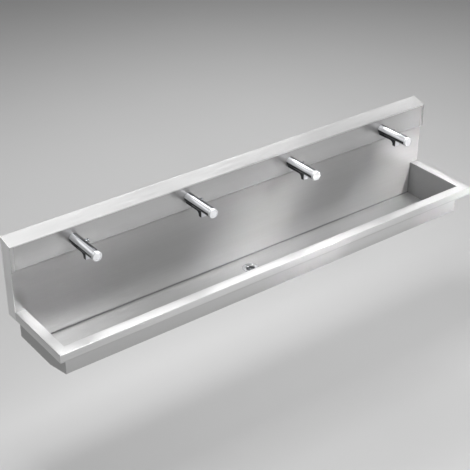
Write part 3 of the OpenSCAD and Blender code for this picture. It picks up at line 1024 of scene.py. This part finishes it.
def dress_nodes(groups: tuple[tuple[tuple[str, ...], Finish], ...]) -> None:
    """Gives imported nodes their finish.

    Args:
        groups: names of nodes, each group with its finish.
    """
    for names, finish in groups:
        for name in names:
            finish.dress(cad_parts[name])
            log.info("%s: %s", name, finish.name)


# Sub-assemblies


@dataclass
class Shell:
    """The bent and welded sheet: pan, end walls, rims, side panels and header cover."""

    pan: tuple[str, ...] = ("trough_pan",)
    header: tuple[str, ...] = ("header_cover",)
    lengthways: tuple[str, ...] = ("duct_base_plate",)
    end_walls: tuple[str, ...] = ("left_end_wall", "right_end_wall")
    front_to_back: tuple[str, ...] = ("left_rim_rail", "right_rim_rail")
    upright: tuple[str, ...] = ("left_side_panel", "right_side_panel")

    def dress(self) -> None:
        """Gives each sheet the finish with its own grain."""
        dress_nodes(
            (
                (self.pan, STEEL_PAN),
                (self.header, STEEL_HEADER),
                (self.lengthways, STEEL_LENGTHWAYS),
                (self.end_walls, STEEL_END_WALL),
                (self.front_to_back, STEEL_FRONT_TO_BACK),
                (self.upright, STEEL_UPRIGHT),
            )
        )


@dataclass
class Plumbing:
    """Fixings and pipes behind the splashback, as packed."""

    zinc: tuple[str, ...] = (
        "left_wall_bracket",
        "middle_wall_bracket",
        "right_wall_bracket",
        "floor_stiffener",
        "manifold_clips",
    )
    copper: tuple[str, ...] = ("hot_manifold", "cold_manifold")
    rubber: tuple[str, ...] = ("tap_gaskets", "waste_gasket")
    chrome: tuple[str, ...] = ("waste_strainer",)

    @staticmethod
    def of_each_tap(*kinds: str) -> tuple[str, ...]:
        """Names of the nodes of these kinds, tap by tap."""
        numbers = range(1, len(TAP_STATIONS) + 1)
        return tuple(f"tap_{number}_{kind}" for number in numbers for kind in kinds)

    def dress(self) -> None:
        """Gives each hidden piece its finish."""
        dress_nodes(
            (
                (self.zinc, ZINC),
                (self.copper, COPPER),
                (self.rubber, RUBBER),
                (self.chrome, DARK_CHROME),
                (self.of_each_tap("hot_pipe", "cold_pipe"), COPPER),
                (self.of_each_tap("inlet_block", "cartridge"), BRASS),
                (self.of_each_tap("spout_insert"), POLYMER),
            )
        )


@dataclass
class PushTap:
    """A push tap, worked out with its axis upright and then laid out from the header front.

    Heights run out along the tap from the header front, and angle 0 points straight down.
    """

    radius: float = 0.023
    shank_radius: float = 0.014
    shank_length: float = 0.022
    gasket_radius: float = 0.020
    gasket_recess: float = 0.0015
    bore_radius: float = 0.008
    chamber_radius: float = 0.017
    chamber_start: float = 0.075
    neck_radius: float = 0.020
    neck_end: float = 0.191
    bezel_start: float = 0.183
    bezel_gap: float = 0.0002
    length: float = 0.198
    keel_half_width: float = 0.013
    keel_depth: float = 0.030
    keel_rounding: float = 0.0012
    keel_corner: float = 0.004
    keel_blend: float = 0.003
    spout_depth: float = 0.052
    spout_start: float = 0.099
    spout_end: float = 0.120
    spout_middle: float = 0.1095
    flare: float = 0.019
    mouth_radius: float = 0.0093
    mouth_length: float = 0.011
    mouth_flare: float = 0.0008
    mouth_bevel: float = 0.0006
    cut_past: float = 0.004
    lever_height: float = 0.052
    boss_radius: float = 0.009
    boss_reach: float = 0.025
    spindle_hole: float = 0.0043
    spindle_hole_ends: tuple[float, float] = (0.012, 0.03)
    button_radius: float = 0.016
    button_setback: float = 0.0008
    button_dome: float = 0.0012
    button_flange: float = 0.0168
    button_flange_back: float = 0.186
    stem_radius: float = 0.004
    stem_back: float = 0.164
    spindle_radius: float = 0.004
    spindle_end: float = 0.013
    hub_radius: float = 0.0075
    hub_ends: tuple[float, float] = (0.0253, 0.041)
    lever_place: float = 0.035
    arm_radius: float = 0.0026
    arm_taper: float = 0.0006
    arm_length: float = 0.0195
    ball_radius: float = 0.0028
    ball_place: float = 0.0222

    def downward_angles(self, count: int = 144) -> Array:
        """Angles round the tap, closer together at the keel: half even and half cubed steps."""
        even = np.linspace(-1, 1, count, endpoint=False)
        return math.pi * (0.5 * even + 0.5 * even**3)

    def keel_outline(self) -> tuple[Array, Array, Array]:
        """Outline of the keel from the header to the spout, and how wide it is there.

        The half width narrows along a quarter of a circle at the spout's end.

        Returns:
            Its heights, depths and half widths, in order.
        """
        outline = filleted(
            [
                (0, 0, 0),
                (0, self.keel_depth, 0.0015),
                (self.spout_start, self.keel_depth, self.flare),
                (self.spout_start, self.spout_depth, 0.002),
                (self.spout_end, self.spout_depth, 0.005),
                (self.spout_end, 0, 0),
            ],
            12,
        )
        heights, depths = outline[:, 0], outline[:, 1]
        inside = np.clip((heights - self.spout_end) / self.keel_rounding + 1, 0, 1)
        widths = self.keel_half_width - self.keel_rounding * (1 - np.sqrt(1 - inside * inside))
        return heights, depths, widths

    def keel_reach(self, angles: Array, depths: Array, widths: Array) -> Array:
        """Distance from the axis to the keel's skin.

        It is the depth over the angle's cosine at the bottom and the half width over its sine at
        the sides, the smaller of the two, rounded at the corner. From just under a right angle on,
        where the cosine fades, it is nothing.

        Args:
            angles: angles round the tap.
            depths: depth of the keel, row by row.
            widths: its half width, row by row.

        Returns:
            The distances by row and angle.
        """
        depth, width = depths[:, None], widths[:, None]
        down = np.abs(angles) < 0.49 * math.pi
        cosine = np.where(down, np.cos(angles), 1.0)
        sine = np.maximum(np.abs(np.sin(angles)), 1e-3)
        reach = smooth_min(depth / cosine, width / sine, self.keel_corner)
        return np.where(down, np.maximum(reach, 0), 0)

    def skin(self) -> Surface:
        """Shank, barrel, keel, spout, neck and bore in one.

        Returns:
            A ring-shaped surface, whose profile comes back to its start.
        """
        angles = self.downward_angles()
        plain = np.array(
            [
                (-self.shank_length, self.bore_radius),
                (-self.shank_length, self.shank_radius),
                (self.gasket_recess, self.shank_radius),
                (self.gasket_recess, self.gasket_radius),
                (0, self.gasket_radius),
                (0, self.radius),
            ]
        )
        ending = filleted(
            [
                (self.spout_end + self.keel_blend, self.radius, 0),
                (self.bezel_start, self.radius, 0.0005),
                (self.bezel_start, self.neck_radius, 0),
                (self.neck_end, self.neck_radius, 0.0006),
                (self.neck_end, self.chamber_radius, 0.0006),
                (self.chamber_start, self.chamber_radius, 0),
                (self.chamber_start, self.bore_radius, 0),
            ]
        )
        heights, depths, widths = self.keel_outline()
        keel = smooth_max(
            np.full((len(heights), len(angles)), self.radius),
            self.keel_reach(angles, depths, widths),
            self.keel_blend,
        )
        around = np.ones(len(angles))
        radius = np.concatenate([plain[:, 1:] * around, keel, ending[:, 1:] * around])
        height = np.concatenate([plain[:, 0], heights, ending[:, 0]])
        return Surface.turned(radius, height, angles, True)

    def sideways(self, profile: Array, sides: int = 48) -> Surface:
        """A profile of (radius, reach) turned round the lever's axis, which points to +X."""
        turned = Surface.lathed(profile, sides)
        return turned.stood((0, 1, 0), (0, 0, 1), (1, 0, 0)).moved((0, 0, self.lever_height))

    def body(self) -> bpy.types.Mesh:
        """Adds the lever's boss to the skin and cuts the spout's mouth and the spindle's hole.

        Returns:
            The body's mesh.
        """
        boss = filleted(
            [
                (0, self.chamber_radius, 0),
                (self.boss_radius, self.chamber_radius, 0),
                (self.boss_radius, self.boss_reach, 0.001),
                (0, self.boss_reach, 0),
            ]
        )
        near, far = self.spindle_hole_ends
        hole = np.array([(0, near), (self.spindle_hole, near), (self.spindle_hole, far), (0, far)])
        start, end = self.chamber_radius - self.cut_past, self.spout_depth + self.cut_past
        inner = self.spout_depth - self.mouth_length
        wide = self.mouth_radius + self.mouth_flare
        mouth = np.array(
            [
                (0, start),
                (self.bore_radius, start),
                (self.bore_radius, inner),
                (self.mouth_radius, inner),
                (self.mouth_radius, self.spout_depth - self.mouth_bevel),
                (wide, self.spout_depth + self.mouth_flare - self.mouth_bevel),
                (wide, end),
                (0, end),
            ]
        )
        down = Surface.lathed(mouth, 64)
        down = down.stood((1, 0, 0), (0, 0, 1), (0, -1, 0)).moved((0, 0, self.spout_middle))
        return carved(self.skin(), [self.sideways(boss)], [self.sideways(hole), down], "tap_body")

    def bezel(self) -> bpy.types.Mesh:
        """Ring round the button: a profile with a soft outer edge, turned round the tap.

        Returns:
            The bezel's mesh.
        """
        inner = self.button_radius + PLAY
        back = self.neck_end + PLAY
        neck = self.neck_radius + PLAY
        start = self.bezel_start + self.bezel_gap
        profile = filleted(
            [
                (inner, back, 0),
                (inner, self.length, 0.0005),
                (self.radius, self.length, 0.003),
                (self.radius, start, 0.0004),
                (neck, start, 0),
                (neck, back, 0),
            ],
            8,
        )
        return Surface.lathed(profile, 96, True).mesh("tap_bezel")

    def button(self) -> bpy.types.Mesh:
        """Button with a slightly domed face, its stem and the flange behind the bezel's lip.

        The face is highest in the middle and falls with the square of the distance from there.

        Returns:
            The button's mesh.
        """
        front = self.length - self.button_setback
        edge = filleted(
            [
                (0, self.stem_back, 0),
                (self.stem_radius, self.stem_back, 0.0005),
                (self.stem_radius, self.button_flange_back, 0),
                (self.button_flange, self.button_flange_back, 0.0003),
                (self.button_flange, self.neck_end, 0.0003),
                (self.button_radius, self.neck_end, 0),
                (self.button_radius, front, 0.0007),
                (0, front, 0),
            ]
        )[:-1]
        share = np.linspace(1, 0, 12)
        rise = self.button_dome * (1 - share * share)
        dome = np.stack([edge[-1, 0] * share, front + rise], axis=1)
        return Surface.lathed(np.concatenate([edge, dome]), 96).mesh("tap_button", 24)

    def lever(self) -> bpy.types.Mesh:
        """Hub on its spindle with a tapered arm that points to the front and ends in a ball.

        Both are profiles turned round their own axes. The arm's radius falls evenly with its
        length, and the ball is an arc about its middle.

        Returns:
            The lever's mesh.
        """
        back, front = self.hub_ends
        hub = filleted(
            [
                (0, self.spindle_end, 0),
                (self.spindle_radius, self.spindle_end, 0.0005),
                (self.spindle_radius, back, 0),
                (self.hub_radius, back, 0.0006),
                (self.hub_radius, front, 0.003),
                (0, front, 0),
            ]
        )
        run = np.linspace(0, 1, 10)
        taper = np.stack([self.arm_radius - self.arm_taper * run, self.arm_length * run], axis=1)
        swell = np.linspace(-0.9, math.pi / 2, 14)
        wide, high = self.ball_radius * np.cos(swell), self.ball_radius * np.sin(swell)
        ball = np.stack([wide, self.ball_place + high], axis=1)
        arm = Surface.lathed(np.concatenate([[(0, 0)], taper, ball]), 40)
        arm = arm.moved((self.lever_place, 0, self.lever_height))
        return carved(self.sideways(hub), [arm], [], "tap_lever")

    def fit(self) -> None:
        """Makes one mesh of each kind and places a copy of it at every tap."""
        kinds = (
            ("body", self.body(), "trough", TAP_CHROME),
            ("bezel", self.bezel(), "trough", CAP_CHROME),
            ("button", self.button(), "button_{}", CAP_CHROME),
            ("temperature_lever", self.lever(), "lever_{}", DARK_CHROME),
        )
        laid = Matrix(((1, 0, 0), (0, 0, -1), (0, 1, 0))).to_4x4()
        for number, station in enumerate(TAP_STATIONS, 1):
            place = Matrix.Translation((station, HEADER_FRONT, TAP_AXIS)) @ laid
            for kind, master, body, finish in kinds:
                mesh = master.copy()
                mesh.transform(place)
                fitted(mesh, body.format(number), finish, "chrome", f"tap_{number}_{kind}")


@dataclass
class Fasteners:
    """Lock nuts behind the header and the screws under it."""

    nut_across: float = 0.036
    nut_bore: float = 0.0143
    nut_thickness: float = 0.008
    screw_diameter: float = 0.005
    screw_length: float = 0.012
    screw_pitch: float = 0.35
    screw_count: int = 7
    screw_y: float = -0.07325
    screw_base: float = 0.2105

    @staticmethod
    def nut(across: float, bore: float, thickness: float) -> Surface:
        """Hexagonal nut with both faces chamfered.

        The outer radius is the smaller of the hexagon's and a cone's, which is NUT_FACE of half the
        width across flats at a face and widens by NUT_SLOPE for each unit of height from there.

        Args:
            across: width across flats.
            bore: radius of the hole.
            thickness: height of the nut.

        Returns:
            The nut's surface, from height 0 up.
        """
        angles = np.linspace(0, 2 * math.pi, 96, endpoint=False)
        chamfer = across / 2 * NUT_CHAMFER
        rows = np.linspace(0, chamfer, 5)
        heights = np.unique(np.r_[rows, thickness - rows])
        rise = np.minimum(heights, thickness - heights)
        cone = across / 2 * NUT_FACE + NUT_SLOPE * rise[:, None]
        outer = np.minimum(hexagon(angles, across), cone)
        inside = np.array([bore, bore])[:, None] * np.ones(len(angles))
        radius = np.concatenate([outer, inside])
        return Surface.turned(radius, np.r_[heights, thickness, 0], angles, True)

    @staticmethod
    def screw(diameter: float, length: float) -> Surface:
        """Pan-head screw with a hexagon socket, head down, its seat at height 0.

        All but the length are shares of the diameter: the head's radius 0.9 and height 0.6, the
        socket 0.6 across, the pitch 0.16. The head's edge is a quarter of an ellipse, and the
        thread's radius falls and rises once for each pitch of height and turn of the angle.

        Args:
            diameter: diameter of the thread.
            length: length from the seat to the tip.

        Returns:
            The screw's surface.
        """
        angles = np.linspace(0, 2 * math.pi, 48, endpoint=False)
        head, thick = 0.9 * diameter, 0.6 * diameter
        swell = np.linspace(0, math.pi / 2, 7)
        dome_radius = 0.55 * head + 0.45 * head * np.cos(swell)
        dome_height = -0.35 * thick - 0.65 * thick * np.sin(swell)
        pitch = 0.16 * diameter
        turns = np.arange(0.1 * length, 0.94 * length, pitch / 4)
        ridge = np.abs((turns[:, None] / pitch - angles / (2 * math.pi)) % 1 - 0.5)
        thread = diameter / 2 - 0.3 * pitch * ridge * 2
        around = np.ones(len(angles))
        socket = hexagon(angles, 0.6 * diameter)
        rows = [
            (0 * around, -0.55 * thick),
            (socket, -0.55 * thick),
            (socket, -thick),
            *((r * around, h) for r, h in zip(dome_radius[::-1], dome_height[::-1])),
            (head * around, 0.0),
            (diameter / 2 * around, 0.0),
            *zip(thread, turns),
            (0.36 * diameter * around, length),
            (0 * around, length),
        ]
        return Surface.turned(
            np.array([row for row, _ in rows]), np.array([height for _, height in rows]), angles
        )

    def fit(self) -> None:
        """Places the nuts and the screws."""
        nut = self.nut(self.nut_across, self.nut_bore, self.nut_thickness)
        nut = nut.stood((1, 0, 0), (0, 0, 1), (0, -1, 0))
        back = HEADER_FRONT + SHEET + self.nut_thickness
        nuts = nut.repeated([(station, back, TAP_AXIS) for station in TAP_STATIONS])
        fitted(nuts.mesh("locknuts"), "trough", BRASS, "brass", "tap_locknuts")
        half = self.screw_count // 2
        stations = (self.screw_pitch * step for step in range(-half, half + 1))
        screw = self.screw(self.screw_diameter, self.screw_length)
        screws = screw.repeated([(x, self.screw_y, self.screw_base) for x in stations])
        fitted(screws.mesh("screws"), "trough", ZINC, "galvanised", "header_screws")


@dataclass
class FloorWaste:
    """Waste in the bowl floor, each piece turned round the waste's upright axis."""

    setback: float = 0.16498
    floor: float = -0.1785
    flange_radius: float = 0.042
    mouth_radius: float = 0.022
    tube_radius: float = 0.024
    tube_length: float = 0.040
    strainer_drop: float = 0.010
    ledge: float = 0.0015
    edge_height: float = 0.001
    crown_height: float = 0.002
    crown_inset: float = 0.004
    gasket: float = 0.003
    nut_height: float = 0.010
    nut_across: float = 0.066
    socket_top: float = 0.022
    socket_wall: float = 0.0045
    socket_floor: float = 0.004
    tail_radius: float = 0.021
    tail_length: float = 0.060
    tail_wall: float = 0.003
    plain_length: float = 0.0115
    thread_pitch: float = 0.0023
    thread_depth: float = 0.0007
    thread_top: float = 0.012
    thread_end: float = 0.0015
    run_out: float = 0.001

    def at_floor(self, surface: Surface) -> Surface:
        """Moves a surface from the origin to the middle of the waste on the floor's face."""
        return surface.moved((0, -self.setback, self.floor))

    def flange(self) -> bpy.types.Mesh:
        """Dished flange that rolls into the mouth, with the tube and its ledge below.

        Returns:
            The flange's mesh.
        """
        ledge = self.mouth_radius - self.ledge
        profile = filleted(
            [
                (self.flange_radius, 0, 0),
                (self.flange_radius, self.edge_height, 0.0006),
                (self.flange_radius - self.crown_inset, self.crown_height, 0.003),
                (self.mouth_radius + self.crown_inset, self.edge_height, 0.006),
                (self.mouth_radius, -self.edge_height, 0.0015),
                (self.mouth_radius, -self.strainer_drop, 0),
                (ledge, -self.strainer_drop, 0),
                (ledge, -self.tube_length, 0),
                (self.tube_radius, -self.tube_length, 0.0004),
                (self.tube_radius, 0, 0),
            ],
            8,
        )
        return self.at_floor(Surface.lathed(profile, 128, True)).mesh("flange")

    def tail(self) -> bpy.types.Mesh:
        """Socket under the floor with a tail whose outside carries a fine thread.

        The thread's radius falls and rises once for each pitch of height and turn of the angle.

        Returns:
            The mesh of both.
        """
        angles = np.linspace(0, 2 * math.pi, 96, endpoint=False)
        bore = self.tube_radius + PLAY
        outer = bore + self.socket_wall
        shoulder = -self.tube_length - self.socket_floor
        end = shoulder - self.tail_length
        pitch, depth = self.thread_pitch, self.thread_depth
        turns = np.arange(shoulder - self.thread_top, end + self.thread_end, -pitch / 6)
        phase = np.abs((turns[:, None] / pitch - angles / (2 * math.pi)) % 1 - 0.5) * 2
        thread = self.tail_radius - depth * phase
        inner = self.tail_radius - self.tail_wall
        around = np.ones(len(angles))
        socket = filleted(
            [
                (bore, -self.tube_length, 0),
                (bore, -self.socket_top, 0.0004),
                (outer, -self.socket_top, 0.0008),
                (outer, shoulder, 0.0015),
                (self.tail_radius, shoulder, 0.001),
                (self.tail_radius, shoulder - self.plain_length, 0),
            ]
        )
        mouth = filleted(
            [
                (self.tail_radius - depth, end + self.run_out, 0),
                (self.tail_radius - 2 * depth, end, 0),
                (inner, end, 0.0004),
                (inner, -self.tube_length, 0),
            ]
        )
        radius = np.concatenate([socket[:, :1] * around, thread, mouth[:, :1] * around])
        height = np.concatenate([socket[:, 1], turns, mouth[:, 1]])
        return self.at_floor(Surface.turned(radius, height, angles, True)).mesh("tail", 40)

    def fit(self) -> None:
        """Places the flange, the socket with its tail and the lock nut."""
        fitted(self.flange(), "trough", CHROME, "chrome", "waste_flange")
        fitted(self.tail(), "trough", CHROME, "chrome", "waste_body")
        nut = Fasteners.nut(self.nut_across, self.tube_radius + PLAY, self.nut_height)
        nut = self.at_floor(nut.moved((0, 0, -SHEET - self.gasket - self.nut_height)))
        fitted(nut.mesh("waste_nut"), "trough", BRASS, "brass", "waste_locknut")


# Studio


WIDE_BEAM = 180.0


@dataclass(frozen=True)
class Softbox:
    """A soft rectangular light that faces a point. A narrow beam draws a pool of light there."""

    name: str
    place: Point
    target: Point
    width: float
    height: float
    watts: float
    beam: float = WIDE_BEAM

    def build(self) -> bpy.types.Object:
        """Makes the light and hides it from the camera.

        Returns:
            The light's object.
        """
        data = bpy.data.lights.new(self.name, "AREA")
        data.shape = "RECTANGLE"
        data.size, data.size_y = self.width, self.height
        data.energy = self.watts
        data.spread = math.radians(self.beam)
        light = bpy.data.objects.new(self.name, data)
        light.location = self.place
        facing = Vector(self.target) - Vector(self.place)
        light.rotation_euler = facing.to_track_quat("-Z", "Y").to_euler()
        light.visible_camera = False
        bpy.context.scene.collection.objects.link(light)
        return light


@dataclass(frozen=True)
class PhotoCamera:
    """Camera at the photograph's place, with its turn, tilt and focal length."""

    place: Point = (-2.90636, -3.87862, 2.80631)
    yaw: float = 37.118
    pitch: float = 30.701
    roll: float = 0.113
    focal_pixels: float = 1152.38
    image_pixels: float = 470.0
    sensor: float = 36.0

    def build(self) -> None:
        """Makes the scene's camera."""
        data = bpy.data.cameras.new("photo_camera")
        data.sensor_width = self.sensor
        data.lens = self.focal_pixels / self.image_pixels * self.sensor
        data.clip_end = 100.0
        camera = bpy.data.objects.new("photo_camera", data)
        yaw, pitch = math.radians(self.yaw), math.radians(self.pitch)
        camera.matrix_world = (
            Matrix.Translation(self.place)
            @ Matrix.Rotation(-yaw, 4, "Z")
            @ Matrix.Rotation(math.pi / 2 - pitch, 4, "X")
            @ Matrix.Rotation(math.radians(self.roll), 4, "Z")
        )
        bpy.context.scene.collection.objects.link(camera)
        bpy.context.scene.camera = camera


@dataclass
class Studio:
    """Pale floor, soft lights and sky."""

    floor_height: float = -0.85
    floor_half: float = 14.0
    sky: Colour = (1.0, 1.0, 1.0)
    sky_strength: float = 0.16
    lights: list[Softbox] = field(
        default_factory=lambda: [
            Softbox("behind_left", (0.7, 3.0, 3.3), (0.0, -0.3, 0.0), 1.8, 1.3, 32.0),
            Softbox("behind_middle", (2.45, 3.0, 3.3), (0.0, -0.3, 0.0), 1.75, 1.3, 31.0),
            Softbox("behind_right", (4.3, 3.0, 3.3), (0.0, -0.3, 0.0), 2.0, 1.3, 22.0),
            Softbox("behind_low", (2.1, 3.0, 2.77), (-0.4, -0.42, 0.0), 1.2, 0.4, 8.0),
            Softbox("behind_low_right", (3.5, 3.0, 2.77), (0.4, -0.42, 0.0), 1.6, 0.4, 7.0),
            Softbox("behind_far_left", (-2.4, 2.7, 2.2), (0.2, -0.2, 0.3), 3.4, 1.6, 13.0),
            Softbox("over_left", (-0.7, 0.2, 3.2), (-0.6, -0.3, 0.0), 1.4, 1.4, 62.0),
            Softbox("front_left", (0.3, -4.0, 2.2), (-0.6, 0.0, 0.0), 1.6, 2.2, 90.0),
            Softbox("front_middle", (2.6, -4.0, 2.2), (0.1, 0.0, 0.0), 1.6, 2.2, 40.0),
            Softbox("front_right", (5.0, -4.0, 2.2), (0.8, 0.0, 0.0), 1.6, 2.2, 36.0),
            Softbox("pool_left", (1.0, -3.4, 2.2), (-0.98, -0.066, 0.04), 0.3, 0.3, 0.18, 8.0),
            Softbox("pool_middle", (1.9, -3.2, 2.2), (0.14, -0.066, 0.0), 0.3, 0.3, 0.8, 8.0),
            Softbox("pool_right", (1.9, -3.2, 2.6), (1.13, -0.066, -0.03), 0.3, 0.3, 1.2, 10.0),
            Softbox("pool_apron", (1.8, -3.4, 0.9), (0.15, -0.45, -0.11), 0.3, 0.3, 0.26, 6.0),
            Softbox("pool_end", (2.8, -3.4, 0.9), (1.12, -0.45, -0.13), 0.3, 0.3, 0.32, 5.0),
        ]
    )

    def lay_floor(self) -> bpy.types.Object:
        """Makes the floor, a level grid of squares.

        Returns:
            The floor's object.
        """
        side = np.linspace(-self.floor_half, self.floor_half, 9)
        across, along = np.meshgrid(side, side)
        level = np.full_like(across, self.floor_height)
        points = np.stack([across, along, level], axis=-1).reshape(-1, 3)
        index = np.arange(points.shape[0]).reshape(across.shape)
        quads = np.stack(
            [index[:-1, :-1], index[:-1, 1:], index[1:, 1:], index[1:, :-1]], axis=-1
        )
        mesh = bpy.data.meshes.new("floor")
        mesh.from_pydata(points.tolist(), [], quads.reshape(-1, 4).tolist())
        floor = bpy.data.objects.new("studio_floor", mesh)
        bpy.context.scene.collection.objects.link(floor)
        PaleFloor().dress(floor)
        return floor

    def hang_sky(self) -> None:
        """Makes the even sky."""
        world = bpy.data.worlds.new("studio_sky")
        world.use_nodes = True
        background = world.node_tree.nodes["Background"]
        background.inputs["Color"].default_value = (*self.sky, 1.0)
        background.inputs["Strength"].default_value = self.sky_strength
        bpy.context.scene.world = world
        bpy.context.scene.view_settings.view_transform = "Standard"

    def build(self) -> None:
        """Makes the floor, the sky and the lights, whose narrow beams leave the floor out."""
        floor = self.lay_floor()
        self.hang_sky()
        spared = bpy.data.collections.new("lit_but_the_floor")
        spared.objects.link(floor)
        spared.collection_objects[0].light_linking.link_state = "EXCLUDE"
        for softbox in self.lights:
            light = softbox.build()
            if softbox.beam < WIDE_BEAM:
                light.light_linking.receiver_collection = spared


def main() -> None:
    """Builds the studio and dresses the trough, sub-assembly by sub-assembly."""
    logging.basicConfig(level=logging.INFO, format="%(name)s: %(message)s")
    PhotoCamera().build()
    Studio().build()
    Shell().dress()
    Plumbing().dress()
    PushTap().fit()
    Fasteners().fit()
    FloorWaste().fit()


if __name__ == "__main__":
    main()
